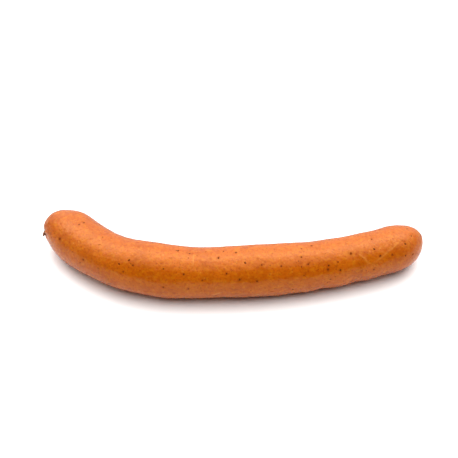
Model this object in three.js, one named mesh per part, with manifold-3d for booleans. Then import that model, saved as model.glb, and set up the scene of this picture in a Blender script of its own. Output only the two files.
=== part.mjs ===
// A long thin smoked sausage in its own casing, bent into the curve in which it hung to dry.
// It lies on its belly. Millimetres, +Z up, with the origin under the middle of its outline.

import * as THREE from 'three';
import { mergeVertices } from 'three/addons/utils/BufferGeometryUtils.js';
import Module from 'manifold-3d';

// Body, measured along the spine from the left tip to the right tip.
const spineLength = 191;
const bodyRadius = 11.7;
const taper = 0.044;
const slimming = 0.021;
const leftCapLength = 21.2;
const rightCapLength = 18;
const bellyFlat = 0.35;

// Bends in degrees. The body bows steadily, and each end hooks a little further round.
const startHeading = -47;
const steadyBow = 42;
const leftHook = { turn: 28, centre: 46, reach: 37.5 };
const rightHook = { turn: 47.5, centre: 186.5, reach: 26.5 };

// Swells and dents of the hand-filled casing: place along the spine, place around the body in
// degrees up from the side that the curve bulges to, height in mm, and reach in mm.
const swells = [
  { along: 4, around: 30, height: 0.7, reach: 6 },
  { along: 14, around: 137, height: 0.45, reach: 4 },
  { along: 39, around: 137, height: -0.45, reach: 10 },
  { along: 60, around: 137, height: 0.5, reach: 11 },
  { along: 84, around: 137, height: -0.55, reach: 10 },
  { along: 112, around: 137, height: 0.35, reach: 14 },
  { along: 138, around: 137, height: -0.3, reach: 7 },
  { along: 152, around: 137, height: -0.25, reach: 6 },
  { along: 8, around: -43, height: -0.25, reach: 5 },
  { along: 21, around: -43, height: 0.3, reach: 6 },
  { along: 37, around: -43, height: -0.25, reach: 5 },
  { along: 68, around: -43, height: 0.45, reach: 7 },
  { along: 92, around: -43, height: -0.3, reach: 8 },
  { along: 117, around: -43, height: 0.25, reach: 6 },
  { along: 131, around: -43, height: 0.35, reach: 4 },
  { along: 138, around: -43, height: -0.3, reach: 4 },
  { along: 146, around: -43, height: 0.35, reach: 5 },
  { along: 154, around: -43, height: -0.4, reach: 4 },
  { along: 166, around: -43, height: -0.35, reach: 5 },
  { along: 183, around: -25, height: 0.3, reach: 6 },
  { along: 187.5, around: 20, height: -0.35, reach: 5 },
];
const swellFocus = 2.6;

// Each end of the casing is gathered into pleats round the dried stub of its twist.
const leftStub = { along: 5.5, around: 2, length: 1.4, radius: 1.1 };
const rightStub = { along: 190.7, around: -90, length: 1.2, radius: 1.1 };
const stubRoot = 1.5;
const pleatCount = 8;
const pleatDepth = 0.3;
const pleatPeak = 3.4;
const pleatReach = 9;
const gatherDepth = 0.2;

// Fineness of the facets.
const sides = 34;
const capRings = 11;
const bodyRings = 104;
const stubSides = 10;
const spineStep = 0.25;

const up = new THREE.Vector3(0, 0, 1);

/** Smooth rise from 0 to 1 while u goes from -1 to 1. */
function easedStep(u) {
  return THREE.MathUtils.smootherstep(u, -1, 1);
}

/** Heading of the spine in radians, anticlockwise from +X. */
function headingAt(along) {
  const bow = steadyBow * along / spineLength;
  const left = leftHook.turn * easedStep((along - leftHook.centre) / leftHook.reach);
  const right = rightHook.turn * easedStep((along - rightHook.centre) / rightHook.reach);
  return THREE.MathUtils.degToRad(startHeading + bow + left + right);
}

/** Points of the spine, one each spineStep, walked out from the left tip. */
function walkSpine() {
  const points = [new THREE.Vector3()];
  for (let along = spineStep; along <= spineLength; along += spineStep) {
    const heading = headingAt(along - spineStep / 2);
    const stride = new THREE.Vector3(Math.cos(heading), Math.sin(heading), 0);
    points.push(points.at(-1).clone().addScaledVector(stride, spineStep));
  }
  return points;
}

const spine = walkSpine();

function spinePoint(along) {
  const place = THREE.MathUtils.clamp(along / spineStep, 0, spine.length - 1);
  const before = Math.min(Math.floor(place), spine.length - 2);
  return spine[before].clone().lerp(spine[before + 1], place - before);
}

/** Radius of the filled casing without its caps: fuller at the left, slimmer at the right. */
function filledRadius(along) {
  const turn = Math.PI * along / spineLength;
  return bodyRadius * (1 + taper * Math.cos(turn) - slimming * Math.cos(2 * turn));
}

/** Radius of the round profile, closed at both ends by a half ellipse. */
function profileRadius(along) {
  const intoLeft = Math.max(1 - along / leftCapLength, 0);
  const intoRight = Math.max(1 - (spineLength - along) / rightCapLength, 0);
  return filledRadius(along) * Math.sqrt(1 - intoLeft ** 2) * Math.sqrt(1 - intoRight ** 2);
}

/** Height that the swells and dents add at a place on the filled casing. */
function swellHeight(along, around) {
  let height = 0;
  for (const swell of swells) {
    const facing = Math.cos(around - THREE.MathUtils.degToRad(swell.around));
    const away = ((along - swell.along) / swell.reach) ** 2 + swellFocus * (1 - facing);
    height += swell.height * Math.exp(-away);
  }
  return height;
}

/** Point of the casing. A distance out from the spine and an angle around it give the place. */
function casingPoint(along, radius, around) {
  const heading = headingAt(along);
  const across = new THREE.Vector3(Math.sin(heading), -Math.cos(heading), 0);
  return spinePoint(along)
    .addScaledVector(up, filledRadius(along) - bellyFlat)
    .addScaledVector(across, radius * Math.cos(around))
    .addScaledVector(up, radius * Math.sin(around));
}

/** Place of a stub on the smooth casing, and the way in which it points. */
function stubSeat(stub) {
  const around = THREE.MathUtils.degToRad(stub.around);
  const nudge = 0.3;
  const turned = nudge / bodyRadius;
  const at = (along, angle) => casingPoint(along, profileRadius(along), angle);
  const lengthwise = at(stub.along + nudge, around).sub(at(stub.along - nudge, around));
  const sideways = at(stub.along, around + turned).sub(at(stub.along, around - turned));
  return { seat: at(stub.along, around), outward: lengthwise.cross(sideways).normalize() };
}

/** How far the pleats and the gathering pull the casing in or out, round one stub. */
function pleatHeight(point, { seat, outward }) {
  const offset = point.clone().sub(seat);
  const distance = offset.length();
  if (distance > pleatReach) return 0;
  const level = new THREE.Vector3().crossVectors(up, outward).normalize();
  const steep = new THREE.Vector3().crossVectors(outward, level);
  const bearing = Math.atan2(offset.dot(steep), offset.dot(level));
  const fade = 1 - easedStep(2 * distance / pleatReach - 1);
  const rise = Math.min(distance / pleatPeak, 1);
  const pleats = pleatDepth * Math.cos(pleatCount * bearing) * rise;
  return (pleats - gatherDepth * (1 - rise)) * fade;
}

/** The filled casing: a lathed profile, bent along the spine and given its unevenness. */
function casingGeometry(seats) {
  const profile = [];
  for (let i = 0; i <= capRings; i += 1) {
    const along = leftCapLength * (1 - Math.cos(Math.PI / 2 * i / capRings));
    profile.push(new THREE.Vector2(profileRadius(along), along));
  }
  const straight = spineLength - leftCapLength - rightCapLength;
  for (let i = 1; i < bodyRings; i += 1) {
    const along = leftCapLength + straight * i / bodyRings;
    profile.push(new THREE.Vector2(profileRadius(along), along));
  }
  for (let i = capRings; i >= 0; i -= 1) {
    const along = spineLength - rightCapLength * (1 - Math.cos(Math.PI / 2 * i / capRings));
    profile.push(new THREE.Vector2(profileRadius(along), along));
  }

  const geometry = new THREE.LatheGeometry(profile, sides);
  const position = geometry.attributes.position;
  for (let i = 0; i < position.count; i += 1) {
    const along = position.getY(i);
    const radius = Math.hypot(position.getX(i), position.getZ(i));
    const around = Math.atan2(position.getZ(i), position.getX(i));
    const smooth = casingPoint(along, radius, around);
    let relief = swellHeight(along, around) * radius / filledRadius(along);
    for (const seat of seats) relief += pleatHeight(smooth, seat);
    const coreAlong = THREE.MathUtils.clamp(along, bodyRadius, spineLength - bodyRadius);
    const outward = smooth.clone().sub(casingPoint(coreAlong, 0, 0)).normalize();
    const point = smooth.addScaledVector(outward, relief);
    position.setXYZ(i, point.x, point.y, Math.max(point.z, 0));
  }
  return geometry;
}

/** The short dry end of twisted casing, rooted in the body and pointing out of it. */
function stubGeometry(stub, { seat, outward }) {
  const profile = [
    new THREE.Vector2(0, -stubRoot),
    new THREE.Vector2(stub.radius, -stubRoot),
    new THREE.Vector2(stub.radius, 0),
    new THREE.Vector2(stub.radius * 0.75, stub.length * 0.5),
    new THREE.Vector2(stub.radius * 0.8, stub.length * 0.85),
    new THREE.Vector2(0, stub.length),
  ];
  const geometry = new THREE.LatheGeometry(profile, stubSides);
  const turn = new THREE.Quaternion().setFromUnitVectors(new THREE.Vector3(0, 1, 0), outward);
  geometry.applyQuaternion(turn);
  geometry.translate(seat.x, seat.y, seat.z);
  return geometry;
}

/** A manifold solid of a closed geometry, without the flat triangles at its poles. */
function toSolid(wasm, geometry) {
  geometry.deleteAttribute('normal');
  geometry.deleteAttribute('uv');
  const merged = mergeVertices(geometry);
  const index = merged.index.array;
  const corners = [];
  for (let i = 0; i < index.length; i += 3) {
    const [a, b, c] = index.slice(i, i + 3);
    if (a !== b && b !== c && c !== a) corners.push(a, b, c);
  }
  return new wasm.Manifold(new wasm.Mesh({
    numProp: 3,
    vertProperties: merged.attributes.position.array,
    triVerts: new Uint32Array(corners),
  }));
}

/** A geometry of a manifold solid, moved so that its footprint is centred on the origin. */
function toCentredGeometry(solid) {
  const mesh = solid.getMesh();
  const geometry = new THREE.BufferGeometry();
  geometry.setAttribute('position', new THREE.BufferAttribute(mesh.vertProperties, 3));
  geometry.setIndex(new THREE.BufferAttribute(mesh.triVerts, 1));
  geometry.computeBoundingBox();
  const middle = geometry.boundingBox.getCenter(new THREE.Vector3());
  geometry.translate(-middle.x, -middle.y, 0);
  geometry.computeVertexNormals();
  return geometry;
}

const wasm = await Module();
wasm.setup();

const stubs = [leftStub, rightStub];
const seats = stubs.map(stubSeat);
let solid = toSolid(wasm, casingGeometry(seats));
stubs.forEach((stub, i) => {
  solid = solid.add(toSolid(wasm, stubGeometry(stub, seats[i])));
});

const casing = new THREE.MeshStandardMaterial({ color: 0xd8742a, roughness: 0.28, metalness: 0 });
const sausage = new THREE.Mesh(toCentredGeometry(solid), casing);
sausage.name = 'sausage';

const group = new THREE.Group();
group.add(sausage);

export default group;
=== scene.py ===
"""A long smoked sausage in its natural casing, lying in the curve in which it hung to dry.

Sizes are in metres, written through MM, and angles in degrees are turned to radians where
they are used. The body is swept along its spine by Geometry Nodes, and the pepper under the
casing is scattered over it. The dried twists at both ends are modelled meshes.
"""

import logging
import math
from dataclasses import dataclass, fields, replace
from enum import Enum
from typing import ClassVar, TypeVar

import bmesh
import bpy
from mathutils import Matrix, Vector
from mathutils.bvhtree import BVHTree
from mathutils.kdtree import KDTree


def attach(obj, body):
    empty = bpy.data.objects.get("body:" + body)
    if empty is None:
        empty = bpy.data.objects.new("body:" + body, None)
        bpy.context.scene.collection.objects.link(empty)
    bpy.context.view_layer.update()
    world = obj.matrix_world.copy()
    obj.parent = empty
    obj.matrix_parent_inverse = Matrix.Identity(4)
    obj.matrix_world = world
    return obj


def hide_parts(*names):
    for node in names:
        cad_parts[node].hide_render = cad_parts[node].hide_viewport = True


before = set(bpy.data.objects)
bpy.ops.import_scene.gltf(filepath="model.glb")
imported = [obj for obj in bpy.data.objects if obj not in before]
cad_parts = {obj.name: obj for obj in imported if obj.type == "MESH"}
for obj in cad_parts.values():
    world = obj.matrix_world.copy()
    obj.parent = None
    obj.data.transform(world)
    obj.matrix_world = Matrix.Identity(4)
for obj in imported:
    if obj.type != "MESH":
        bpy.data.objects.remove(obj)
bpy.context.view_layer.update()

MM = 0.001
BODY = "root"
NODE = "sausage"
UP = Vector((0.0, 0.0, 1.0))
REFRACTION = 1.45

log = logging.getLogger("sausage")


class Signal:
    """A value that flows through a node tree, with the usual arithmetic on it.

    Numbers go through Math nodes and vectors through Vector Math nodes.
    """

    def __init__(self, bench: "Bench", socket: bpy.types.NodeSocket) -> None:
        """Wrap an output socket of a node on this bench."""
        self.bench = bench
        self.socket = socket

    @property
    def is_vector(self) -> bool:
        """Whether the value is a vector."""
        return self.socket.type in {"VECTOR", "ROTATION"}

    def math(self, operation: str, *others: "Value") -> "Signal":
        """Apply a Math or Vector Math node to this value.

        Args:
            operation: the operation's name in Blender.
            others: the further values that the operation takes.

        Returns:
            The node's first visible output.
        """
        return self.bench.math(operation, self, *others)

    def __add__(self, other: "Value") -> "Signal":
        """Sum."""
        return self.math("ADD", other)

    def __radd__(self, other: "Value") -> "Signal":
        """Sum with the signal on the right."""
        return self.bench.math("ADD", other, self)

    def __sub__(self, other: "Value") -> "Signal":
        """Difference."""
        return self.math("SUBTRACT", other)

    def __rsub__(self, other: "Value") -> "Signal":
        """Difference with the signal on the right."""
        return self.bench.math("SUBTRACT", other, self)

    def __mul__(self, other: "Value") -> "Signal":
        """Product."""
        return self.math("MULTIPLY", other)

    def __rmul__(self, other: "Value") -> "Signal":
        """Product with the signal on the right."""
        return self.bench.math("MULTIPLY", self, other)

    def __truediv__(self, other: "Value") -> "Signal":
        """Quotient."""
        return self.math("DIVIDE", other)

    def __rtruediv__(self, other: "Value") -> "Signal":
        """Quotient with the signal on the right."""
        return self.bench.math("DIVIDE", other, self)

    def __pow__(self, other: "Value") -> "Signal":
        """Power."""
        return self.math("POWER", other)

    def __neg__(self) -> "Signal":
        """Negative."""
        return self.math("MULTIPLY", -1.0)


Value = Signal | float | int | tuple | Vector
Number = Signal | float
Sizes = TypeVar("Sizes")


def cosine(angle: Number) -> Number:
    """Cosine of a number or a signal."""
    return angle.math("COSINE") if isinstance(angle, Signal) else math.cos(angle)


def exponential(power: Number) -> Number:
    """Exponential of a number or a signal."""
    return power.math("EXPONENT") if isinstance(power, Signal) else math.exp(power)


def clamped(value: Signal) -> Signal:
    """A number held between 0 and 1."""
    return value.math("MAXIMUM", 0.0).math("MINIMUM", 1.0)


def eased(value: Signal) -> Signal:
    """A number held between 0 and 1, with a soft start and a soft end."""
    held = clamped(value)
    return held * held * (3.0 - 2.0 * held)


class Bench:
    """A node tree under construction, for a material or for geometry."""

    def __init__(self, tree: bpy.types.NodeTree) -> None:
        """Start with an empty tree."""
        self.tree = tree
        self.tree.nodes.clear()

    def add(
        self, kind: str, settings: dict | None = None, sockets: dict | None = None
    ) -> bpy.types.Node:
        """Add one node.

        Args:
            kind: the node's type name.
            settings: properties to set first. The key stops holds a ramp's (place, colour) pairs.
            sockets: input names or numbers, each with a value or a link.

        Returns:
            The node.
        """
        node = self.tree.nodes.new(kind)
        for name, value in (settings or {}).items():
            if name == "stops":
                self._set_stops(node.color_ramp, value)
            else:
                setattr(node, name, value)
        for name, value in (sockets or {}).items():
            self.feed(self._input(node, name), value)
        return node

    @staticmethod
    def _set_stops(ramp: bpy.types.ColorRamp, stops: list) -> None:
        """Give a colour ramp its stops.

        Args:
            ramp: the colour ramp.
            stops: its (place, colour) pairs.
        """
        while len(ramp.elements) < len(stops):
            ramp.elements.new(1.0)
        for element, (place, colour) in zip(ramp.elements, stops):
            element.position = place
            element.color = (*colour, 1.0)

    @staticmethod
    def _input(node: bpy.types.Node, name: str | int) -> bpy.types.NodeSocket:
        """Find a node's usable input.

        Args:
            node: the node.
            name: the input's name or number.

        Returns:
            The input.
        """
        if isinstance(name, int):
            return node.inputs[name]
        return next(socket for socket in node.inputs if socket.name == name and socket.enabled)

    def feed(self, socket: bpy.types.NodeSocket, value: "Value") -> None:
        """Link a signal to an input, or set the input to a constant.

        Args:
            socket: the input.
            value: the signal or the constant. A colour is given as three numbers.
        """
        if isinstance(value, Signal):
            self.tree.links.new(value.socket, socket)
        elif isinstance(value, tuple) and socket.type == "RGBA":
            socket.default_value = (*value, 1.0)
        else:
            socket.default_value = value

    def out(self, node: bpy.types.Node, name: str | int = 0) -> Signal:
        """Wrap a node's visible output.

        Args:
            node: the node.
            name: the output's name, or its number among those in use.

        Returns:
            The output as a signal.
        """
        usable = [socket for socket in node.outputs if socket.enabled]
        if isinstance(name, int):
            return Signal(self, usable[name])
        return Signal(self, next(socket for socket in usable if socket.name == name))

    def math(self, operation: str, *values: "Value") -> Signal:
        """Add a Math node, or a Vector Math node where a value is a vector.

        Args:
            operation: the operation's name in Blender.
            values: its inputs in order.

        Returns:
            The result.
        """
        vectors = [value for value in values if isinstance(value, (tuple, Vector))]
        vectors += [value for value in values if isinstance(value, Signal) and value.is_vector]
        if not vectors:
            node = self.add("ShaderNodeMath", {"operation": operation}, dict(enumerate(values)))
            return self.out(node)
        scalar = next((value for value in values if not self._is_vector(value)), None)
        if operation == "MULTIPLY" and scalar is not None:
            sockets = {"Vector": vectors[0], "Scale": scalar}
            return self.out(self.add("ShaderNodeVectorMath", {"operation": "SCALE"}, sockets))
        node = self.add("ShaderNodeVectorMath", {"operation": operation}, dict(enumerate(values)))
        return self.out(node)

    @staticmethod
    def _is_vector(value: "Value") -> bool:
        """Whether a value is a vector."""
        return value.is_vector if isinstance(value, Signal) else isinstance(value, (tuple, Vector))

    def parts(self, vector: Signal) -> tuple[Signal, Signal, Signal]:
        """Split a vector into its three numbers."""
        node = self.add("ShaderNodeSeparateXYZ", None, {0: vector})
        return self.out(node, 0), self.out(node, 1), self.out(node, 2)

    def vector(self, x: Number, y: Number, z: Number) -> Signal:
        """Join three numbers into a vector."""
        return self.out(self.add("ShaderNodeCombineXYZ", None, {0: x, 1: y, 2: z}))

    def noise(self, place: Signal, size: float, detail: float = 2.0) -> Signal:
        """Smooth noise between 0 and 1.

        Args:
            place: where the noise is read, in metres.
            size: the rough size of one patch in metres.
            detail: how many finer layers are added.

        Returns:
            The noise.
        """
        sockets = {"Vector": place, "Scale": 1.0 / size, "Detail": detail}
        return self.out(self.add("ShaderNodeTexNoise", None, sockets), 0)

    def unrest(self, place: Signal, size: float, detail: float) -> Signal:
        """Smooth noise between -1 and 1."""
        return self.noise(place, size, detail) * 2.0 - 1.0

    def mix(self, factor: Number, first: "Value", second: "Value") -> Signal:
        """Mix two colours."""
        sockets = {"Factor": factor, "A": first, "B": second}
        return self.out(self.add("ShaderNodeMix", {"data_type": "RGBA"}, sockets))

    def wandered(self, place: Signal, size: float, reach: float) -> Signal:
        """Move a place about by smooth noise, so that round spots become ragged.

        Args:
            place: the place in metres.
            size: the rough size of one patch of the noise in metres.
            reach: how far the place is moved at most, in metres.

        Returns:
            The moved place.
        """
        sockets = {"Vector": place, "Scale": 1.0 / size, "Detail": 1.0}
        colour = self.out(self.add("ShaderNodeTexNoise", None, sockets), "Color")
        return place + self.math("SUBTRACT", colour, (0.5, 0.5, 0.5)) * (2.0 * reach)

    def gap(self, place: Signal, start: Vector, run: Vector) -> tuple[Signal, Signal]:
        """Measure how far a place is from a straight run.

        Args:
            place: the place.
            start: where the run starts.
            run: its way and length.

        Returns:
            The distance, and the part of the run that is nearest, from 0 to 1.
        """
        offset = place - start
        part = clamped(offset.math("DOT_PRODUCT", run) / run.length_squared)
        return (offset - part * run).math("LENGTH"), part


class GeometryBench(Bench):
    """A Geometry Nodes tree with named inputs, run once on an object and applied."""

    def __init__(self, name: str) -> None:
        """Start a tree that takes a geometry and gives a geometry."""
        super().__init__(bpy.data.node_groups.new(name, "GeometryNodeTree"))
        self.chosen: dict[str, float | int] = {}
        interface = self.tree.interface
        interface.new_socket("Geometry", in_out="INPUT", socket_type="NodeSocketGeometry")
        interface.new_socket("Geometry", in_out="OUTPUT", socket_type="NodeSocketGeometry")
        self.start = self.add("NodeGroupInput")

    @property
    def geometry(self) -> Signal:
        """The geometry that the tree is given."""
        return Signal(self, self.start.outputs["Geometry"])

    def size(self, label: str, value: float | int) -> Signal:
        """Make a named input of the tree.

        Args:
            label: the input's name.
            value: what the modifier will set it to.

        Returns:
            The input as a signal.
        """
        kind = "NodeSocketInt" if isinstance(value, int) else "NodeSocketFloat"
        item = self.tree.interface.new_socket(label, in_out="INPUT", socket_type=kind)
        self.chosen[item.identifier] = value
        return Signal(self, self.start.outputs[label])

    def sizes(self, group: Sizes) -> Sizes:
        """Make a named input for each field of a dataclass of sizes.

        Args:
            group: the sizes, as numbers.

        Returns:
            The same dataclass, with the inputs as signals.
        """
        prefix = type(group).__name__
        found = {
            item.name: self.size(f"{prefix} {item.name}", getattr(group, item.name))
            for item in fields(group)
        }
        return replace(group, **found)

    def read(self, name: str, kind: str = "FLOAT") -> Signal:
        """Read a named attribute of the geometry."""
        node = self.add("GeometryNodeInputNamedAttribute", {"data_type": kind}, {"Name": name})
        return self.out(node, "Attribute")

    def store(self, geometry: Signal, name: str, kind: str, value: Signal) -> Signal:
        """Store a value on the points of a geometry.

        Args:
            geometry: the geometry.
            name: the attribute's name.
            kind: its data type in Blender.
            value: the value at each point.

        Returns:
            The geometry with the attribute.
        """
        settings = {"data_type": kind, "domain": "POINT"}
        sockets = {"Geometry": geometry, "Name": name, "Value": value}
        return self.out(self.add("GeometryNodeStoreNamedAttribute", settings, sockets))

    def moved(self, geometry: Signal, **sockets: Signal) -> Signal:
        """Move the points of a geometry by Position or Offset."""
        node = self.add("GeometryNodeSetPosition", None, {"Geometry": geometry, **sockets})
        return self.out(node)

    def position(self) -> Signal:
        """Place of each point."""
        return self.out(self.add("GeometryNodeInputPosition"))

    def finish(self, geometry: Signal, material: bpy.types.Material) -> None:
        """End the tree in Realize Instances and Set Material.

        Args:
            geometry: what the tree has made.
            material: its material.
        """
        smooth = self.out(self.add("GeometryNodeSetShadeSmooth", None, {"Geometry": geometry}))
        real = self.out(self.add("GeometryNodeRealizeInstances", None, {"Geometry": smooth}))
        sockets = {"Geometry": real, "Material": material}
        dressed = self.add("GeometryNodeSetMaterial", None, sockets)
        self.add("NodeGroupOutput", None, {"Geometry": self.out(dressed)})

    def run(self, data: bpy.types.ID, name: str) -> bpy.types.Object:
        """Run the tree on a curve or mesh and keep the result as a plain mesh object.

        Args:
            data: the curve or mesh that the tree starts from.
            name: the new object's name.

        Returns:
            The new object, with no modifier on it.
        """
        source = add_object(f"{name}_source", data)
        modifier = source.modifiers.new(self.tree.name, "NODES")
        modifier.node_group = self.tree
        for identifier, value in self.chosen.items():
            modifier[identifier] = value
        depsgraph = bpy.context.evaluated_depsgraph_get()
        depsgraph.update()
        mesh = bpy.data.meshes.new_from_object(
            source.evaluated_get(depsgraph), preserve_all_data_layers=True, depsgraph=depsgraph
        )
        source.modifiers.remove(modifier)
        bpy.data.objects.remove(source)
        mesh.name = name
        return add_object(name, mesh)


def add_object(name: str, data: bpy.types.ID) -> bpy.types.Object:
    """Put a new object into the scene.

    Args:
        name: the object's name.
        data: its mesh, curve or camera.

    Returns:
        The object, at the origin.
    """
    made = bpy.data.objects.new(name, data)
    bpy.context.scene.collection.objects.link(made)
    return made


@dataclass(frozen=True)
class Hook:
    """A bend of the spine: turn in degrees, and its centre and reach along the spine."""

    turn: float
    centre: float
    reach: float

    def turned(self, along: float) -> float:
        """Degrees that this bend has turned the spine by."""
        u = min(max((along - self.centre) / self.reach * 0.5 + 0.5, 0.0), 1.0)
        return self.turn * u**3 * (u * (6.0 * u - 15.0) + 10.0)


@dataclass(frozen=True)
class Spine:
    """The middle line of the body, from the left tip to the right tip, seen from above."""

    length: float = 191 * MM
    tip: tuple[float, float] = (-86.839 * MM, 22.091 * MM)
    start_heading: float = -47.0
    steady_bow: float = 42.0
    left_hook: Hook = Hook(28.0, 46 * MM, 37.5 * MM)
    right_hook: Hook = Hook(47.5, 186.5 * MM, 26.5 * MM)
    step: float = 0.25 * MM

    def heading(self, along: float) -> float:
        """Heading of the spine.

        Args:
            along: the distance from the left tip.

        Returns:
            The heading in radians, anticlockwise from +X.
        """
        bow = self.steady_bow * along / self.length
        hooks = self.left_hook.turned(along) + self.right_hook.turned(along)
        return math.radians(self.start_heading + bow + hooks)

    def points(self) -> list[Vector]:
        """Walk the spine out from the left tip.

        Returns:
            Its points at height 0, one each step.
        """
        points = [Vector((*self.tip, 0.0))]
        for i in range(round(self.length / self.step)):
            heading = self.heading((i + 0.5) * self.step)
            points.append(points[-1] + self.step * Vector((math.cos(heading), math.sin(heading), 0)))
        return points

    def point(self, along: float) -> Vector:
        """Find a point of the spine.

        Args:
            along: the distance from the left tip.

        Returns:
            The point at height 0.
        """
        points = self.points()
        place = min(max(along / self.step, 0.0), len(points) - 1.001)
        before = int(place)
        return points[before].lerp(points[before + 1], place - before)

    def curve(self) -> bpy.types.Curve:
        """Lay the spine as a poly curve.

        Returns:
            The curve.
        """
        points = self.points()
        curve = bpy.data.curves.new("spine", "CURVE")
        curve.dimensions = "3D"
        spline = curve.splines.new("POLY")
        spline.points.add(len(points) - 1)
        for slot, point in zip(spline.points, points):
            slot.co = (*point, 1.0)
        return curve


@dataclass(frozen=True)
class Filling:
    """Roundness of the filled casing along the spine."""

    length: Number = 191 * MM
    radius: Number = 11.7 * MM
    taper: Number = 0.044
    slimming: Number = 0.021
    left_cap: Number = 21.2 * MM
    right_cap: Number = 18 * MM
    belly_flat: Number = 0.35 * MM

    def filled_radius(self, along: Number) -> Number:
        """Radius without the caps: fuller at the left, slimmer at the right."""
        turn = along / self.length * math.pi
        return self.radius * (1.0 + self.taper * cosine(turn) - self.slimming * cosine(turn * 2.0))

    def capped_radius(self, along: float) -> float:
        """Radius with both ends closed by a half ellipse.

        Args:
            along: the distance from the left tip.

        Returns:
            The radius.
        """
        into_left = max(1.0 - along / self.left_cap, 0.0)
        into_right = max(1.0 - (self.length - along) / self.right_cap, 0.0)
        caps = math.sqrt(1.0 - into_left**2) * math.sqrt(1.0 - into_right**2)
        return self.filled_radius(along) * caps


# How closely a swell keeps to its own side of the body.
SWELL_FOCUS = 2.6


@dataclass(frozen=True)
class Swell:
    """A swell or dent of the hand-filled casing.

    Its place is in millimetres along the spine and in degrees up from the bulging side. Its
    height and its reach along the spine are in millimetres.
    """

    along: float
    around: float
    height: float
    reach: float

    def height_at(self, along: Signal, out: Signal, rise: Signal) -> Signal:
        """Height that this swell adds in metres.

        Args:
            along: the distance along the spine in metres.
            out: the level part of the direction out of the spine.
            rise: the upright part of that direction.

        Returns:
            The height.
        """
        around = math.radians(self.around)
        facing = out * math.cos(around) + rise * math.sin(around)
        off = (along - self.along * MM) / (self.reach * MM)
        return exponential(0.0 - off * off - SWELL_FOCUS * (1.0 - facing)) * (self.height * MM)


SWELLS = (
    Swell(4, 30, 0.7, 6),
    Swell(14, 137, 0.45, 4),
    Swell(39, 137, -0.45, 10),
    Swell(60, 137, 0.5, 11),
    Swell(84, 137, -0.55, 10),
    Swell(112, 137, 0.35, 14),
    Swell(138, 137, -0.3, 7),
    Swell(152, 137, -0.25, 6),
    Swell(8, -43, -0.25, 5),
    Swell(21, -43, 0.3, 6),
    Swell(37, -43, -0.25, 5),
    Swell(68, -43, 0.45, 7),
    Swell(92, -43, -0.3, 8),
    Swell(117, -43, 0.25, 6),
    Swell(131, -43, 0.35, 4),
    Swell(138, -43, -0.3, 4),
    Swell(146, -43, 0.35, 5),
    Swell(154, -43, -0.4, 4),
    Swell(166, -43, -0.35, 5),
    Swell(183, -25, 0.3, 6),
    Swell(187.5, 20, -0.35, 5),
)


@dataclass(frozen=True)
class Gathering:
    """Pleats of the casing round a dried twist, and how far they are pulled in.

    They wander to either side of their bearing, by so many radians over patches of that size.
    """

    wander: ClassVar[float] = 1.2
    wander_patch: ClassVar[float] = 2.5 * MM

    count: Number = 8.0
    depth: Number = 0.3 * MM
    peak: Number = 3.4 * MM
    reach: Number = 9 * MM
    pull: Number = 0.2 * MM


@dataclass(frozen=True)
class Skin:
    """Fine unevenness of the casing: heights of its lumps and ripples, and of its veins.

    The patches are the rough sizes of a lump, a ripple and a bend of a vein. The ripples run
    round the body, so they are pressed together along it and drawn out across it. A vein with
    a higher taper keeps its height nearer to its ends.
    """

    lump_patch: ClassVar[float] = 13 * MM
    ripple_patch: ClassVar[float] = 3.2 * MM
    ripple_press: ClassVar[float] = 1.5
    ripple_draw: ClassVar[float] = 0.6
    vein_patch: ClassVar[float] = 4 * MM
    vein_wander: ClassVar[float] = 0.8 * MM
    vein_taper: ClassVar[float] = 4.0

    lump_height: Number = 0.2 * MM
    ripple_height: Number = 0.1 * MM
    vein_height: Number = 0.12 * MM
    vein_width: Number = 0.4 * MM


@dataclass(frozen=True)
class Vein:
    """A raised thread of the casing between two places.

    Each place is in millimetres along the spine and in degrees up from the bulging side.
    """

    start: tuple[float, float]
    end: tuple[float, float]

    def run(self, radius: float) -> tuple[Vector, Vector]:
        """Roll the casing out flat, with the thread on it.

        Args:
            radius: the casing's radius.

        Returns:
            The thread's start and its run.
        """
        start = Vector((self.start[0] * MM, math.radians(self.start[1]) * radius, 0.0))
        end = Vector((self.end[0] * MM, math.radians(self.end[1]) * radius, 0.0))
        return start, end - start


VEINS = (
    Vein((154.5, 60), (159, 28)),
    Vein((159, 28), (176, 68)),
    Vein((80.5, 92), (80.5, 60)),
    Vein((88, -12), (93, 0)),
)


@dataclass(frozen=True)
class Pepper:
    """Cracked pepper under the casing: how dense it lies and how large its grains are.

    The density is in grains for each square metre. None lies lower than the floor gap, so the
    belly rests on the casing alone.
    """

    density: Number = 30000.0
    seed: Number = 11
    smallest: Number = 0.15 * MM
    largest: Number = 0.6 * MM
    thickness: Number = 0.13 * MM
    sunk: Number = 0.06 * MM
    floor_gap: Number = 1.2 * MM


# The nibs lean over, and the dark patch beside them (dried casing and painted shade) runs, this way:
# its level part and its downward part.
DROOP = (0.73, 0.68)


class End(Enum):
    """The two ends of the sausage, by the name of the twist there."""

    LEFT = "left_twist"
    RIGHT = "right_twist"


@dataclass(frozen=True)
class StainAndShade:
    """The dark patch beside a twist: dried casing, and painted shade that stands for the dark line
    along the lower edge there.

    It runs on for its length from a place that is shifted to the twist's upper side. Its width
    is in radii of the twist, and narrows by the taper towards its end. The edge is ragged, and
    has faded out at so many widths.
    """

    length: float
    shift: float = 0.8 * MM
    width: float = 1.5
    taper: float = 0.9
    fade: float = 1.5
    patch: float = 1.2 * MM
    ragged: float = 0.7 * MM


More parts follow.
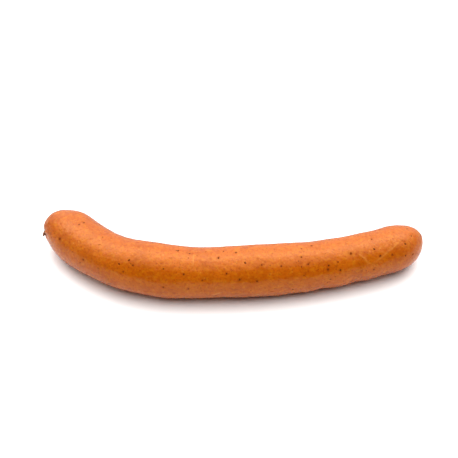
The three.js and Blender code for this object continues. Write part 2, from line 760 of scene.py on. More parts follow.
@dataclass(frozen=True)
class Twist:
    """The short dry end of the casing, gathered and twisted shut.

    It sits at a distance along the spine and at degrees up from the bulging side. Its lobes
    turn by so many degrees from the root to the end. The narrowing and the waves of its girth
    are parts of its radius, and so is the depth of a lobe. The waves turn by so many radians
    outside the casing, and the blunt end keeps the tip from closing to a point.
    """

    end: End
    along: float
    around: float
    length: float
    stain_and_shade: StainAndShade
    radius: float = 1.1 * MM
    root: float = 1.5 * MM
    lobes: int = 5
    lobe_depth: float = 0.12
    turn: float = 150.0
    narrowing: float = 0.2
    wave_depth: float = 0.08
    wave_turn: float = 9.0
    blunt_end: float = 0.02
    sides: int = 50
    rings: int = 30


@dataclass(frozen=True)
class Seat:
    """Where a twist sits on the casing, and the way in which it points."""

    place: Vector
    outward: Vector

    def axes(self) -> tuple[Vector, Vector]:
        """Level and steep directions across the outward one."""
        level = UP.cross(self.outward).normalized()
        return level, self.outward.cross(level)


@dataclass(frozen=True)
class Patches:
    """Soft patches of a colour: their rough size, contrast, rareness and full strength.

    The shift keeps patches of different kinds apart.
    """

    size: float
    contrast: float
    rareness: float
    strength: float
    shift: tuple[float, float, float] = (0.0, 0.0, 0.0)

    def at(self, bench: Bench, place: Signal) -> Signal:
        """Strength of the patches at a place, from 0 to their full strength."""
        noise = bench.noise(place + self.shift, self.size)
        return eased(noise * self.contrast - self.rareness) * self.strength


@dataclass(frozen=True)
class Spots:
    """Ragged spots in the meat: the cell that holds one, how many cells do, and their size.

    The smallest is a share of the largest. The shift keeps spots of different kinds apart.
    """

    cell: float
    share: float
    largest: float
    softness: float
    strength: float
    shift: tuple[float, float, float] = (0.0, 0.0, 0.0)
    smallest: ClassVar[float] = 0.35

    def at(self, bench: Bench, place: Signal) -> Signal:
        """Strength of the spots at a place.

        Args:
            bench: the material's tree.
            place: the place in metres.

        Returns:
            The strength, from 0 outside a spot to the spots' strength in its middle.
        """
        sockets = {"Vector": place + self.shift, "Scale": 1.0 / self.cell}
        cells = bench.add("ShaderNodeTexVoronoi", None, sockets)
        distance = bench.out(cells, "Distance")
        chance, size, _ = bench.parts(bench.out(cells, "Color"))
        radius = self.largest * (self.smallest + (1.0 - self.smallest) * size)
        present = chance.math("LESS_THAN", self.share) * self.strength
        return eased((radius - distance) / (radius * self.softness)) * present


@dataclass(frozen=True)
class CasingFinish:
    """Shiny natural casing over orange smoked meat, with dull spice just under it."""

    name: str = "smoked_casing"
    meat: tuple[float, float, float] = (0.46, 0.1, 0.003)
    amber: tuple[float, float, float] = (0.4, 0.08, 0.002)
    golden: tuple[float, float, float] = (0.51, 0.148, 0.004)
    ruddy: tuple[float, float, float] = (0.31, 0.042, 0.002)
    spice: tuple[float, float, float] = (0.11, 0.015, 0.001)
    fat: tuple[float, float, float] = (0.6, 0.24, 0.035)
    # Dark colour beside the twists: dried casing, and painted shade along the lower edge.
    dry_and_shaded: tuple[float, float, float] = (0.06, 0.014, 0.004)
    # Lighter colour along each raised thread: partly the thread's own paler colour, partly a painted
    # highlight on the ridge.
    thread_and_highlight: tuple[float, float, float] = (0.58, 0.22, 0.035)
    amber_patches: Patches = Patches(9 * MM, 3.0, 1.0, 1.0)
    golden_patches: Patches = Patches(2 * MM, 4.0, 1.8, 0.5, (0.1, 0.0, 0.0))
    ruddy_patches: Patches = Patches(0.9 * MM, 4.0, 1.9, 0.6, (0.0, 0.1, 0.0))
    fat_bits: Spots = Spots(2.4 * MM, 0.55, 0.3, 0.95, 0.45, (0.2, 0.0, 0.0))
    coarse_spice: Spots = Spots(3.4 * MM, 0.6, 0.38, 0.95, 0.45, (0.0, 0.0, 0.3))
    deep_spice: Spots = Spots(1.8 * MM, 0.5, 0.36, 0.9, 0.65)
    fine_spice: Spots = Spots(0.9 * MM, 0.45, 0.36, 0.8, 0.4)
    ragged_patch: float = 0.7 * MM
    ragged_reach: float = 0.35 * MM
    thread_highlight_strength: float = 0.45
    haze_strength: float = 0.7
    roughness: float = 0.13
    roughness_swing: float = 0.05
    roughness_patch: float = 5 * MM
    dry_roughness: float = 0.3
    gloss: float = 0.54
    sheen: tuple[float, float, float] = (1.0, 0.65, 0.37)
    glow_weight: float = 0.15
    glow_colour: tuple[float, float, float] = (1.0, 0.3, 0.1)
    glow_depth: float = 1.5 * MM
    grain_patch: float = 0.8 * MM
    dimple_patch: float = 2.4 * MM
    dimple_weight: float = 2.0
    relief_strength: float = 0.8
    relief_depth: float = 0.14 * MM
    spice_roughness: float = 0.7
    spice_gloss: float = 0.05

    def material(self) -> bpy.types.Material:
        """Build the material.

        Returns:
            The material, which reads Object coordinates and the body's own attributes.
        """
        made, bench, place = started(self.name)
        ragged = bench.wandered(place, self.ragged_patch, self.ragged_reach)
        grain = bench.noise(place, self.grain_patch, 3.0)
        spice = self.coarse_spice.at(bench, ragged)
        for spots in (self.deep_spice, self.fine_spice):
            spice = spice.math("MAXIMUM", spots.at(bench, ragged))
        spice = spice.math("MAXIMUM", self._worn(bench, "haze") * self.haze_strength)
        matt = bench.add("ShaderNodeBsdfPrincipled", None, {
            "Base Color": bench.mix(grain, self.spice, self.ruddy),
            "Roughness": self.spice_roughness,
            "Specular IOR Level": self.spice_gloss,
        })
        sockets = {0: spice, 1: self._shiny(bench, place, ragged, grain), 2: bench.out(matt)}
        shader = bench.add("ShaderNodeMixShader", None, sockets)
        bench.add("ShaderNodeOutputMaterial", None, {"Surface": bench.out(shader)})
        return made

    def _shiny(self, bench: Bench, place: Signal, ragged: Signal, grain: Signal) -> Signal:
        """Lay the shiny casing over the meat.

        Args:
            bench: the material's tree.
            place: the place in metres.
            ragged: the place moved about, so that spots are ragged.
            grain: the fine grain of the casing.

        Returns:
            The shader.
        """
        # Dark patch beside each twist: dried casing, and painted shade along the lower edge.
        dryness_and_shade = self._worn(bench, "dryness_and_shade")
        colour = bench.mix(self.amber_patches.at(bench, place), self.meat, self.amber)
        for factor, above in (
            (self.golden_patches.at(bench, ragged), self.golden),
            (self.ruddy_patches.at(bench, ragged), self.ruddy),
            (self.fat_bits.at(bench, ragged), self.fat),
            # Painted highlight along each raised thread, partly the thread's own paler colour.
            (self._worn(bench, "thread_and_highlight") * self.thread_highlight_strength, self.thread_and_highlight),
            (dryness_and_shade, self.dry_and_shaded),
        ):
            colour = bench.mix(factor, colour, above)
        swing = bench.unrest(place, self.roughness_patch, 2.0) * self.roughness_swing
        dimples = bench.noise(place, self.dimple_patch, 1.0)
        bump = bench.add("ShaderNodeBump", None, {
            "Strength": self.relief_strength,
            "Distance": self.relief_depth,
            "Height": grain + dimples * self.dimple_weight,
        })
        return bench.out(bench.add("ShaderNodeBsdfPrincipled", {"subsurface_method": "RANDOM_WALK"}, {
            "Base Color": colour,
            "Roughness": self.roughness + swing + dryness_and_shade * self.dry_roughness,
            "IOR": REFRACTION,
            "Specular IOR Level": self.gloss,
            "Specular Tint": self.sheen,
            "Subsurface Weight": self.glow_weight,
            "Subsurface Radius": self.glow_colour,
            "Subsurface Scale": self.glow_depth,
            "Normal": bench.out(bump),
        }))

    @staticmethod
    def _worn(bench: Bench, name: str) -> Signal:
        """Read an attribute of the body."""
        return bench.out(bench.add("ShaderNodeAttribute", {"attribute_name": name}), "Fac")


@dataclass(frozen=True)
class MottledFinish:
    """A dull finish of two mottled colours, as pepper and dried casing have."""

    name: str
    dark: tuple[float, float, float]
    light: tuple[float, float, float]
    patch: float
    roughness: float
    gloss: float
    relief_strength: float = 0.4
    relief_depth: float = 0.1 * MM

    def material(self) -> bpy.types.Material:
        """Build the material.

        Returns:
            The material, which reads Object coordinates.
        """
        made, bench, place = started(self.name)
        pattern = bench.noise(place, self.patch)
        bump = bench.add("ShaderNodeBump", None, {
            "Strength": self.relief_strength,
            "Distance": self.relief_depth,
            "Height": pattern,
        })
        shader = bench.add("ShaderNodeBsdfPrincipled", None, {
            "Base Color": bench.mix(eased(pattern * 3.0 - 1.0), self.dark, self.light),
            "Roughness": self.roughness,
            "IOR": REFRACTION,
            "Specular IOR Level": self.gloss,
            "Normal": bench.out(bump),
        })
        bench.add("ShaderNodeOutputMaterial", None, {"Surface": bench.out(shader)})
        return made


PEPPER_FINISH = MottledFinish(
    "pepper", (0.06, 0.011, 0.002), (0.17, 0.032, 0.003), 0.4 * MM, roughness=0.7, gloss=0.0
)
TWIST_FINISH = MottledFinish(
    "dried_twist", (0.16, 0.06, 0.032), (0.31, 0.125, 0.065), 0.5 * MM, roughness=0.6, gloss=0.05
)


def started(name: str) -> tuple[bpy.types.Material, Bench, Signal]:
    """Start a material.

    Args:
        name: the material's name.

    Returns:
        The material, its empty tree, and the place in metres.
    """
    made = bpy.data.materials.new(name)
    made.use_nodes = True
    bench = Bench(made.node_tree)
    return made, bench, bench.out(bench.add("ShaderNodeTexCoord"), "Object")


@dataclass(frozen=True)
class Casing:
    """The filled casing: the sausage's whole body."""

    spine: Spine = Spine()
    filling: Filling = Filling()
    gathering: Gathering = Gathering()
    skin: Skin = Skin()
    rings: int = 560
    sides: int = 160
    weld: float = 0.002 * MM
    belly_softness: float = 0.05 * MM

    def seat(self, twist: Twist) -> Seat:
        """Find where a twist sits on the smooth casing.

        Args:
            twist: the twist.

        Returns:
            Its place and the outward direction there.
        """
        nudge = 0.3 * MM
        turned = nudge / self.filling.radius
        along, around = twist.along, math.radians(twist.around)
        lengthwise = self.point(along + nudge, around) - self.point(along - nudge, around)
        sideways = self.point(along, around + turned) - self.point(along, around - turned)
        return Seat(self.point(along, around), lengthwise.cross(sideways).normalized())

    def point(self, along: float, around: float) -> Vector:
        """Find a point of the smooth casing.

        Args:
            along: the distance along the spine.
            around: the angle in radians up from the bulging side.

        Returns:
            The point.
        """
        heading = self.spine.heading(along)
        across = Vector((math.sin(heading), -math.cos(heading), 0.0))
        height = self.filling.filled_radius(along) - self.filling.belly_flat
        out = across * math.cos(around) + UP * math.sin(around)
        return self.spine.point(along) + UP * height + out * self.filling.capped_radius(along)

    def build(self, twists: list[Twist], material: bpy.types.Material) -> bpy.types.Object:
        """Sweep the casing along the spine and give it its relief.

        Args:
            twists: the dried twists at its ends.
            material: the casing's material.

        Returns:
            The finished body.
        """
        bench = GeometryBench("casing_sweep")
        filling = bench.sizes(self.filling)
        gathering = bench.sizes(self.gathering)
        skin = bench.sizes(self.skin)
        swept = self._sweep(bench, filling)

        straight = bench.read("straight", "FLOAT_VECTOR")
        place = bench.position()
        relief = self._swells(bench, straight, filling)
        relief += self._lumps(bench, straight, skin)
        thread_and_highlight = self._veins(bench, straight, skin)
        relief += thread_and_highlight * skin.vein_height
        stains_and_shade = []
        for twist in twists:
            seat = self.seat(twist)
            relief += self._pleats(bench, place, seat, gathering)
            stains_and_shade.append(self._stain_and_shade(bench, place, seat, twist))
        # Dark casing beside the twists: dried casing, and painted shade along the lower edge.
        dryness_and_shade = stains_and_shade[0].math("MAXIMUM", stains_and_shade[1])
        normal = bench.out(bench.add("GeometryNodeInputNormal"))
        # The thread mask also sets a painted highlight along each thread in the material.
        marked = bench.store(swept, "thread_and_highlight", "FLOAT", thread_and_highlight)
        marked = bench.store(marked, "dryness_and_shade", "FLOAT", dryness_and_shade)
        uneven = bench.moved(marked, Offset=normal * relief)
        bench.finish(self._rest_on_belly(bench, uneven), material)
        return bench.run(self.spine.curve(), "casing_body")

    def _sweep(self, bench: GeometryBench, filling: Filling) -> Signal:
        """Bend a flat grid round the spine into a closed smooth body.

        Args:
            bench: the body's tree.
            filling: the sizes of the filled casing, as signals.

        Returns:
            The closed mesh, with the place of each point on a straight sausage stored on it.
        """
        counts = {
            "Size X": 1.0,
            "Size Y": 1.0,
            "Vertices X": bench.size("Rings", self.rings),
            "Vertices Y": bench.size("Sides", self.sides),
        }
        grid = bench.out(bench.add("GeometryNodeMeshGrid", None, counts), "Mesh")
        u, v, _ = bench.parts(bench.position() + (0.5, 0.5, 0.0))
        quarter = math.pi / 2
        body = filling.length - filling.left_cap - filling.right_cap
        whole = (filling.left_cap + filling.right_cap) * quarter + body
        walked = u * whole
        left = (walked / (filling.left_cap * quarter)).math("MINIMUM", 1.0) * quarter
        middle = clamped((walked - filling.left_cap * quarter) / body)
        last = whole - filling.right_cap * quarter
        right = ((walked - last) / (filling.right_cap * quarter)).math("MAXIMUM", 0.0) * quarter
        along = filling.left_cap * (1.0 - cosine(left)) + body * middle
        along = along + filling.right_cap * right.math("SINE")
        radius = filling.filled_radius(along) * left.math("SINE") * cosine(right)

        sample = bench.add(
            "GeometryNodeSampleCurve", {"mode": "LENGTH"}, {"Curves": bench.geometry, "Length": along}
        )
        around = v * math.tau
        across = bench.out(sample, "Tangent").math("CROSS_PRODUCT", UP)
        out = radius * cosine(around)
        rise = radius * around.math("SINE")
        centre = bench.out(sample, "Position")
        height = filling.filled_radius(along) - filling.belly_flat
        stored = bench.store(grid, "straight", "FLOAT_VECTOR", bench.vector(along, out, rise))
        raised = bench.vector(0.0, 0.0, height + rise)
        bent = bench.moved(stored, Position=centre + across * out + raised)
        merge = {"Geometry": bent, "Distance": self.weld}
        return bench.out(bench.add("GeometryNodeMergeByDistance", None, merge))

    @staticmethod
    def _swells(bench: GeometryBench, straight: Signal, filling: Filling) -> Signal:
        """Height of the swells and dents.

        Args:
            bench: the body's tree.
            straight: the place on a straight sausage.
            filling: the sizes of the filled casing, as signals.

        Returns:
            The height at each point.
        """
        along, out, rise = bench.parts(straight)
        full = filling.filled_radius(along)
        radius = bench.vector(out, rise, 0.0).math("LENGTH")
        unit = (out / radius, rise / radius)
        height = SWELLS[0].height_at(along, *unit)
        for swell in SWELLS[1:]:
            height += swell.height_at(along, *unit)
        return height * radius / full

    @staticmethod
    def _lumps(bench: GeometryBench, straight: Signal, skin: Skin) -> Signal:
        """Height of the soft lumps of the meat and of the fine ripples that run round it.

        Args:
            bench: the body's tree.
            straight: the place on a straight sausage.
            skin: the sizes of the relief.

        Returns:
            The height at each point.
        """
        along, out, rise = bench.parts(straight)
        pressed = along * skin.ripple_press
        drawn_out = bench.vector(pressed, out * skin.ripple_draw, rise * skin.ripple_draw)
        lumps = bench.unrest(straight, skin.lump_patch, 1.0) * skin.lump_height
        return lumps + bench.unrest(drawn_out, skin.ripple_patch, 2.0) * skin.ripple_height

    def _veins(self, bench: GeometryBench, straight: Signal, skin: Skin) -> Signal:
        """Trace the raised threads of the casing.

        Args:
            bench: the body's tree.
            straight: the place on a straight sausage.
            skin: the sizes of the relief, as signals.

        Returns:
            The share of a thread's height at each point, which also sets the painted highlight along
            the thread.
        """
        along, out, rise = bench.parts(straight)
        arc = rise.math("ARCTAN2", out) * self.filling.radius
        wander = bench.unrest(straight, skin.vein_patch, 1.0) * skin.vein_wander
        spot = bench.vector(along + wander, arc + wander, 0.0)
        ridges = []
        for vein in VEINS:
            gap, part = bench.gap(spot, *vein.run(self.filling.radius))
            off = gap / skin.vein_width
            faded = (part * 2.0 - 1.0) ** skin.vein_taper
            ridges.append(exponential(0.0 - off * off) * (1.0 - faded))
        thread_and_highlight = ridges[0]
        for ridge in ridges[1:]:
            thread_and_highlight = thread_and_highlight.math("MAXIMUM", ridge)
        return thread_and_highlight

    @staticmethod
    def _pleats(bench: GeometryBench, place: Signal, seat: Seat, sizes: Gathering) -> Signal:
        """Height of the pleats round one twist.

        Args:
            bench: the body's tree.
            place: the place of each point.
            seat: where the twist sits.
            sizes: the sizes of the pleats, as signals.

        Returns:
            The height at each point.
        """
        level, steep = seat.axes()
        offset = place - seat.place
        distance = offset.math("LENGTH")
        bearing = offset.math("DOT_PRODUCT", steep).math("ARCTAN2", offset.math("DOT_PRODUCT", level))
        wander = bench.unrest(place, sizes.wander_patch, 1.0) * sizes.wander
        fade = 1.0 - eased(distance / sizes.reach)
        rise = (distance / sizes.peak).math("MINIMUM", 1.0)
        pleats = sizes.depth * cosine(bearing * sizes.count + wander) * rise
        return (pleats - sizes.pull * (1.0 - rise)) * fade

    @staticmethod
    def _stain_and_shade(bench: GeometryBench, place: Signal, seat: Seat, twist: Twist) -> Signal:
        """How dark the casing is beside a twist: dried casing, and painted shade.

        Args:
            bench: the body's tree.
            place: the place of each point.
            seat: where the twist sits.
            twist: the twist.

        Returns:
            The darkness, from 0 to 1: partly dryness, partly painted shade.
        """
        level, steep = seat.axes()
        stain_and_shade = twist.stain_and_shade
        run = (level * DROOP[0] - steep * DROOP[1]) * stain_and_shade.length
        start = seat.place + (level * DROOP[1] + steep * DROOP[0]) * stain_and_shade.shift
        gap, part = bench.gap(place, start, run)
        edge = gap + bench.unrest(place, stain_and_shade.patch, 2.0) * stain_and_shade.ragged
        return eased(stain_and_shade.fade - edge / (twist.radius * (stain_and_shade.width - stain_and_shade.taper * part)))

    def _rest_on_belly(self, bench: GeometryBench, geometry: Signal) -> Signal:
        """Flatten the belly where it rests, with a soft edge.

        Args:
            bench: the body's tree.
            geometry: the body.

        Returns:
            The body with nothing below height 0.
        """
        x, y, z = bench.parts(bench.position())
        lifted = z.math("SMOOTH_MAX", 0.0, self.belly_softness).math("MAXIMUM", 0.0)
        return bench.moved(geometry, Position=bench.vector(x, y, lifted))


@dataclass(frozen=True)
class Flake:
    """One coarse flake of pepper.

    Its place is in millimetres along the spine and in degrees up from the bulging side, and
    half its length is in millimetres.
    """

    along: float
    around: float
    half: float

    def place(self, casing: Casing) -> Vector:
        """Place of the flake on the smooth casing."""
        return casing.point(self.along * MM, math.radians(self.around))


FLAKES = (
    Flake(19, 38, 0.54),
    Flake(22.5, 90, 0.38),
    Flake(33.5, 26, 0.46),
    Flake(51.5, 34, 0.36),
    Flake(55, 52, 0.43),
    Flake(68, 12, 0.41),
    Flake(76.5, 44, 0.46),
    Flake(78.5, 10, 0.38),
    Flake(84.5, 32, 0.38),
    Flake(91.5, 82, 0.54),
    Flake(95, 46, 0.46),
    Flake(99.5, 96, 0.48),
    Flake(100.5, 32, 0.51),
    Flake(108, 26, 0.54),
    Flake(110.5, 62, 0.41),
    Flake(119, 56, 0.41),
    Flake(128.5, 72, 0.41),
    Flake(131, 54, 0.38),
    Flake(139.5, 36, 0.56),
    Flake(140, 45, 0.46),
    Flake(145, 30, 0.51),
    Flake(151, 64, 0.61),
    Flake(160.5, 14, 0.41),
    Flake(164, 44, 0.56),
    Flake(169.5, 40, 0.38),
    Flake(178.5, 20, 0.48),
)


@dataclass(frozen=True)
class PepperGrains:
    """The coarse pepper that shows through the casing.

    Rarity makes most grains small. The slimmest grain is as wide as that part of its length,
    and the dents are in radii of a grain. Round a flake the casing looks brown, out to so many
    times half its length.
    """

    sizes: Pepper = Pepper()
    haze_reach: float = 2.4
    rarity: float = 3.0
    slimmest: float = 0.55
    dent_patch: float = 0.9
    dent_depth: float = 0.75
    size_seed: int = 5
    slimness_seed: int = 7
    turn_seed: int = 3

    def build(
        self, body: bpy.types.Object, casing: Casing, material: bpy.types.Material
    ) -> bpy.types.Object:
        """Scatter the grains over the body and set the flakes, each just proud of the casing.

        Args:
            body: the finished body.
            casing: the casing that the body was built from.
            material: the pepper's material.

        Returns:
            The grains and flakes as one piece.
        """
        self._haze(body, casing)
        bench = GeometryBench("pepper_scatter")
        sizes = bench.sizes(self.sizes)
        points = bench.add("GeometryNodeJoinGeometry")
        bench.feed(points.inputs[0], self._flakes(bench))
        bench.feed(points.inputs[0], self._scattered(bench, sizes))
        facing = bench.read("facing", "FLOAT_VECTOR")
        upright = bench.add("FunctionNodeAlignRotationToVector", {"axis": "Z"}, {"Vector": facing})
        spin = {"Rotation": bench.out(upright), "Rotate By": self._turn(bench)}
        rotation = bench.add("FunctionNodeRotateRotation", {"rotation_space": "LOCAL"}, spin)
        placed = bench.add("GeometryNodeInstanceOnPoints", None, {
            "Points": bench.moved(bench.out(points), Offset=facing * (sizes.sunk * -1.0)),
            "Instance": self._grain(bench),
            "Rotation": bench.out(rotation),
            "Scale": self._scale(bench, sizes),
        })
        bench.finish(bench.out(placed), material)
        return bench.run(self._places(body, casing), "pepper_grains")

    def _haze(self, body: bpy.types.Object, casing: Casing) -> None:
        """Store on the body how near each point is to a flake, where the casing looks brown.

        Args:
            body: the finished body.
            casing: the casing that the body was built from.
        """
        corners = body.data.vertices
        near = KDTree(len(corners))
        for corner in corners:
            near.insert(corner.co, corner.index)
        near.balance()
        values = [0.0] * len(corners)
        for flake in FLAKES:
            reach = flake.half * MM * self.haze_reach
            for _, index, gap in near.find_range(flake.place(casing), reach):
                values[index] = max(values[index], 1.0 - gap / reach)
        body.data.attributes.new("haze", "FLOAT", "POINT").data.foreach_set("value", values)

    @staticmethod
    def _places(body: bpy.types.Object, casing: Casing) -> bpy.types.Mesh:
        """Copy the body's mesh and add a loose point to it for each flake.

        Args:
            body: the finished body.
            casing: the casing that the body was built from.

        Returns:
            The mesh, with half the size of each flake and the way that it faces.
        """
        surface = BVHTree.FromObject(body, bpy.context.evaluated_depsgraph_get())
        mesh = bmesh.new()
        mesh.from_mesh(body.data)
        half = mesh.verts.layers.float.new("half")
        facing = mesh.verts.layers.float_vector.new("facing")
        for flake in FLAKES:
            seat, normal, _, _ = surface.find_nearest(flake.place(casing))
            corner = mesh.verts.new(seat)
            corner[half] = flake.half * MM
            corner[facing] = normal
        data = bpy.data.meshes.new("pepper_places")
        mesh.to_mesh(data)
        mesh.free()
        return data

    @staticmethod
    def _flakes(bench: GeometryBench) -> Signal:
        """Turn the loose points of the mesh into points for the flakes.

        Args:
            bench: the grains' tree.

        Returns:
            The points.
        """
        chosen = bench.read("half").math("GREATER_THAN", 0.0)
        sockets = {"Mesh": bench.geometry, "Selection": chosen}
        return bench.out(bench.add("GeometryNodeMeshToPoints", None, sockets))

    def _scattered(self, bench: GeometryBench, sizes: Pepper) -> Signal:
        """Points where the smaller grains lie, few of them large.

        Args:
            bench: the grains' tree.
            sizes: the sizes of the pepper, as signals.

        Returns:
            The points, with half the size of each grain and the way that it faces.
        """
        _, _, height = bench.parts(bench.position())
        spread = bench.add("GeometryNodeDistributePointsOnFaces", None, {
            "Mesh": bench.geometry,
            "Selection": height.math("GREATER_THAN", sizes.floor_gap),
            "Density": sizes.density,
            "Seed": sizes.seed,
        })
        growth = self._random(bench, 0.0, 1.0, self.size_seed) ** self.rarity
        half = sizes.smallest + (sizes.largest - sizes.smallest) * growth
        points = bench.store(bench.out(spread, "Points"), "half", "FLOAT", half)
        return bench.store(points, "facing", "FLOAT_VECTOR", bench.out(spread, "Normal"))

    @staticmethod
    def _random(bench: GeometryBench, least: float, most: float, seed: int) -> Signal:
        """A random number for each grain."""
        sockets = {"Min": least, "Max": most, "Seed": seed}
        return bench.out(bench.add("FunctionNodeRandomValue", {"data_type": "FLOAT"}, sockets))

    def _turn(self, bench: GeometryBench) -> Signal:
        """A random turn about the casing's normal."""
        return bench.vector(0.0, 0.0, self._random(bench, 0.0, math.tau, self.turn_seed))

    def _scale(self, bench: GeometryBench, sizes: Pepper) -> Signal:
        """Find the half sizes of each grain.

        Args:
            bench: the grains' tree.
            sizes: the sizes of the pepper, as signals.

        Returns:
            The half sizes along, across and through the casing.
        """
        half = bench.read("half")
        slimness = self._random(bench, self.slimmest, 1.0, self.slimness_seed)
        return bench.vector(half, half * slimness, sizes.thickness)

    def _grain(self, bench: GeometryBench) -> Signal:
        """Break a ball of unit size into a grain.

        Args:
            bench: the grains' tree.

        Returns:
            The grain.
        """
        ball = bench.add("GeometryNodeMeshIcoSphere", None, {"Radius": 1.0, "Subdivisions": 2})
        dent = bench.unrest(bench.position(), self.dent_patch, 1.0) * self.dent_depth
        normal = bench.out(bench.add("GeometryNodeInputNormal"))
        return bench.moved(bench.out(ball), Offset=normal * dent)


@dataclass(frozen=True)
class DriedTwist:
    """One dried end of the casing as a twisted, lobed nib."""

    sizes: Twist
    seat: Seat

    def build(self, material: bpy.types.Material) -> bpy.types.Object:
        """Model the nib on its seat.

        Args:
            material: the dried casing's material.

        Returns:
            The finished nib.
        """
        mesh = bmesh.new()
        rings = [self._ring(mesh, i / self.sizes.rings) for i in range(self.sizes.rings + 1)]
        for below, above in zip(rings, rings[1:]):
            for i, corner in enumerate(below):
                after = (i + 1) % len(below)
                mesh.faces.new((corner, below[after], above[after], above[i]))
        mesh.faces.new(reversed(rings[0]))
        mesh.faces.new(rings[-1])
        bmesh.ops.recalc_face_normals(mesh, faces=mesh.faces)
        level, steep = self.seat.axes()
        turned = Matrix((level, steep, self.seat.outward)).transposed().to_4x4()
        placed = Matrix.Translation(self.seat.place) @ turned
        bmesh.ops.transform(mesh, matrix=placed, verts=mesh.verts)
        data = bpy.data.meshes.new(self.sizes.end.value)
        mesh.to_mesh(data)
        mesh.free()
        data.materials.append(material)
        for face in data.polygons:
            face.use_smooth = True
        return add_object(self.sizes.end.value, data)

    def _ring(self, mesh: bmesh.types.BMesh, part: float) -> list[bmesh.types.BMVert]:
        """One ring of the nib, leaning and narrowing towards its end.

        Args:
            mesh: the mesh under construction.
            part: how far along the nib the ring is, from 0 at the root to 1 at the end.

        Returns:
            The ring's corners.
        """
        sizes = self.sizes
        height = -sizes.root + (sizes.root + sizes.length) * part
        free = max(height / sizes.length, 0.0)
        wave = sizes.wave_depth * math.sin(sizes.wave_turn * free)
        girth = sizes.radius * (1.0 - sizes.narrowing * free + wave)
        girth *= math.sqrt(max(1.0 - free**4, sizes.blunt_end))
        lean = sizes.length * free
        corners = []
        for i in range(sizes.sides):
            angle = math.tau * i / sizes.sides
            bearing = sizes.lobes * angle + math.radians(sizes.turn) * part
            lobe = 1.0 + sizes.lobe_depth * math.cos(bearing)
            x = girth * lobe * math.cos(angle) + lean * DROOP[0]
            y = girth * lobe * math.sin(angle) - lean * DROOP[1]
            corners.append(mesh.verts.new((x, y, height)))
        return corners


@dataclass(frozen=True)
class Glow:
    """Brightness of the canopy overhead and beside, and the sideways turn between the two.

    Each brightness is a run of pairs of a bearing in degrees, from the front horizon over the
    top, and the brightness there. The turn is the sideways part of the direction at its middle,
    and how wide it is.
    """

    over: tuple[tuple[float, float], ...]
    beside: tuple[tuple[float, float], ...]
    half: float
    edge: float


LIT = Glow(
    over=(
        (45, 0.0), (53, 0.6), (66, 2.6), (78, 3.3), (90, 3.5), (101, 4.4),
        (112, 5.1), (124, 4.5), (138, 3.3), (154, 2.0), (172, 1.0),
    ),
    beside=((40, 0.0), (62, 0.3), (80, 0.4), (105, 0.2), (150, 0.1)),
    half=0.62,
    edge=0.3,
)
MIRRORED = Glow(
    over=(
        (45, 0.0), (53, 0.1), (66, 1.1), (78, 2.0), (90, 2.7), (101, 4.4),
        (112, 5.9), (124, 4.9), (138, 2.8), (154, 1.9), (172, 1.2),
    ),
    beside=((40, 0.4), (62, 0.9), (80, 0.9), (105, 0.6), (150, 0.4)),
    half=0.75,
    edge=0.5,
)


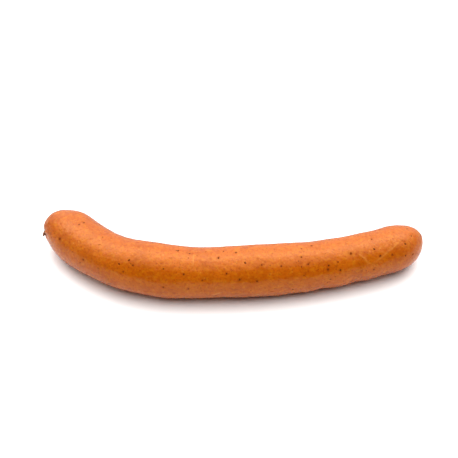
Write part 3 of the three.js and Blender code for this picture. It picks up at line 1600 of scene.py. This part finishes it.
@dataclass(frozen=True)
class Studio:
    """The pale floor, the white canopy that lights it, and the camera.

    The floor is painted dimmer for reflections than the eye sees it: a painted reflection, darkest
    behind the sausage, where it is painted shade. Glow is the canopy's full strength, and backdrop the
    brightness seen past the edge of the floor.
    """

    elevation: float = 47.0
    distance: float = 480 * MM
    aim: tuple[float, float, float] = (-1.423 * MM, 25.687 * MM, 0.0)
    focal_pixels: float = 973.0
    image_pixels: float = 458.0
    sensor: float = 36.0
    nearest: float = 0.01
    farthest: float = 20.0
    floor_half: float = 1.5
    floor_white: float = 0.96
    floor_roughness: float = 0.6
    floor_swing: float = 0.05
    floor_patch: float = 0.2
    floor_gloss: float = 0.2
    # Floor as glossy rays see it: a painted reflection, dimmer in front and darkest behind as painted
    # shade.
    mirror_front: float = 0.68
    mirrored_shade_behind: float = 0.3
    behind_from: float = 12 * MM
    behind_reach: float = 12 * MM
    glow: float = 6.5
    backdrop: float = 1.6

    def build(self) -> None:
        """Set up the whole studio."""
        self._camera()
        self._floor()
        self._canopy()

    def _camera(self) -> None:
        """Place the camera at the photograph's viewing angle."""
        data = bpy.data.cameras.new("camera")
        data.sensor_width = self.sensor
        data.lens = self.focal_pixels / self.image_pixels * self.sensor
        data.clip_start = self.nearest
        data.clip_end = self.farthest
        camera = add_object("camera", data)
        raised = math.radians(self.elevation)
        back = Vector((0.0, -math.cos(raised), math.sin(raised))) * self.distance
        camera.location = Vector(self.aim) + back
        camera.rotation_euler = (math.pi / 2 - raised, 0.0, 0.0)
        bpy.context.scene.camera = camera

    def _floor(self) -> None:
        """Lay the white floor."""
        mesh = bmesh.new()
        bmesh.ops.create_grid(mesh, x_segments=4, y_segments=4, size=self.floor_half)
        data = bpy.data.meshes.new("floor")
        mesh.to_mesh(data)
        mesh.free()
        made, bench, place = started("white_floor")
        _, y, _ = bench.parts(place)
        # Painted reflection: glossy rays see the floor dimmer, and darkest behind the sausage as
        # painted shade.
        behind = eased((y - self.behind_from) / self.behind_reach)
        mirrored = bench.out(bench.add("ShaderNodeLightPath"), "Is Glossy Ray")
        mirrored_shade = bench.mix(behind, (self.mirror_front,) * 3, (self.mirrored_shade_behind,) * 3)
        shader = bench.add("ShaderNodeBsdfPrincipled", None, {
            "Base Color": bench.mix(mirrored, (self.floor_white,) * 3, mirrored_shade),
            "Roughness": self.floor_roughness + self.floor_swing * bench.noise(place, self.floor_patch),
            "Specular IOR Level": self.floor_gloss,
        })
        bench.add("ShaderNodeOutputMaterial", None, {"Surface": bench.out(shader)})
        data.materials.append(made)
        add_object("floor", data)

    def _canopy(self) -> None:
        """Hang a canopy overhead, brightest behind, and a plain white backdrop round the floor."""
        world = bpy.data.worlds.new("canopy")
        world.use_nodes = True
        bench = Bench(world.node_tree)
        x, y, z = bench.parts(bench.out(bench.add("ShaderNodeTexCoord"), "Generated"))
        bearing = z.math("ARCTAN2", -y) / math.pi
        path = bench.add("ShaderNodeLightPath")
        shown = [self._shown(bench, bearing, x.math("ABSOLUTE"), glow) for glow in (LIT, MIRRORED)]
        lighting = bench.mix(bench.out(path, "Is Glossy Ray"), *shown)
        backdrop = (self.backdrop / self.glow,) * 3
        colour = bench.mix(bench.out(path, "Is Camera Ray"), lighting, backdrop)
        sockets = {"Color": colour, "Strength": self.glow}
        back = bench.add("ShaderNodeBackground", None, sockets)
        bench.add("ShaderNodeOutputWorld", None, {"Surface": bench.out(back)})
        bpy.context.scene.world = world
        bpy.context.scene.view_settings.view_transform = "Standard"

    def _shown(self, bench: Bench, bearing: Signal, sideways: Signal, glow: Glow) -> Signal:
        """Brightness of the canopy in a direction.

        Args:
            bench: the world's tree.
            bearing: 0 at the front horizon, 0.5 overhead and 1 at the back horizon.
            sideways: the sideways part of the direction.
            glow: the brightness by bearing.

        Returns:
            The brightness as a share of the canopy's strength.
        """
        strips = []
        for stops in (glow.over, glow.beside):
            shares = [(degrees / 180.0, (level / self.glow,) * 3) for degrees, level in stops]
            ramp = bench.add("ShaderNodeValToRGB", {"stops": shares}, {"Fac": bearing})
            strips.append(bench.out(ramp))
        return bench.mix(eased((sideways - glow.half) / glow.edge + 0.5), *strips)


def settle(piece: bpy.types.Object) -> None:
    """Make a piece ride on the body, and report it.

    Args:
        piece: the finished piece.
    """
    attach(piece, BODY)
    piece.data.calc_loop_triangles()
    log.info("%s: %d triangles", piece.name, len(piece.data.loop_triangles))


def main() -> None:
    """Build the sausage and its studio."""
    logging.basicConfig(level=logging.INFO, format="%(name)s: %(message)s")
    casing = Casing()
    twists = [
        Twist(End.LEFT, along=5.5 * MM, around=2.0, length=1.4 * MM, stain_and_shade=StainAndShade(4.2 * MM)),
        Twist(End.RIGHT, along=190.7 * MM, around=-90.0, length=1.2 * MM, stain_and_shade=StainAndShade(2 * MM)),
    ]
    body = casing.build(twists, CasingFinish().material())
    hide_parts(NODE)
    pieces = [body, PepperGrains().build(body, casing, PEPPER_FINISH.material())]
    dried = TWIST_FINISH.material()
    pieces += [DriedTwist(twist, casing.seat(twist)).build(dried) for twist in twists]
    for piece in pieces:
        settle(piece)

    Studio().build()


if __name__ == "__main__":
    main()
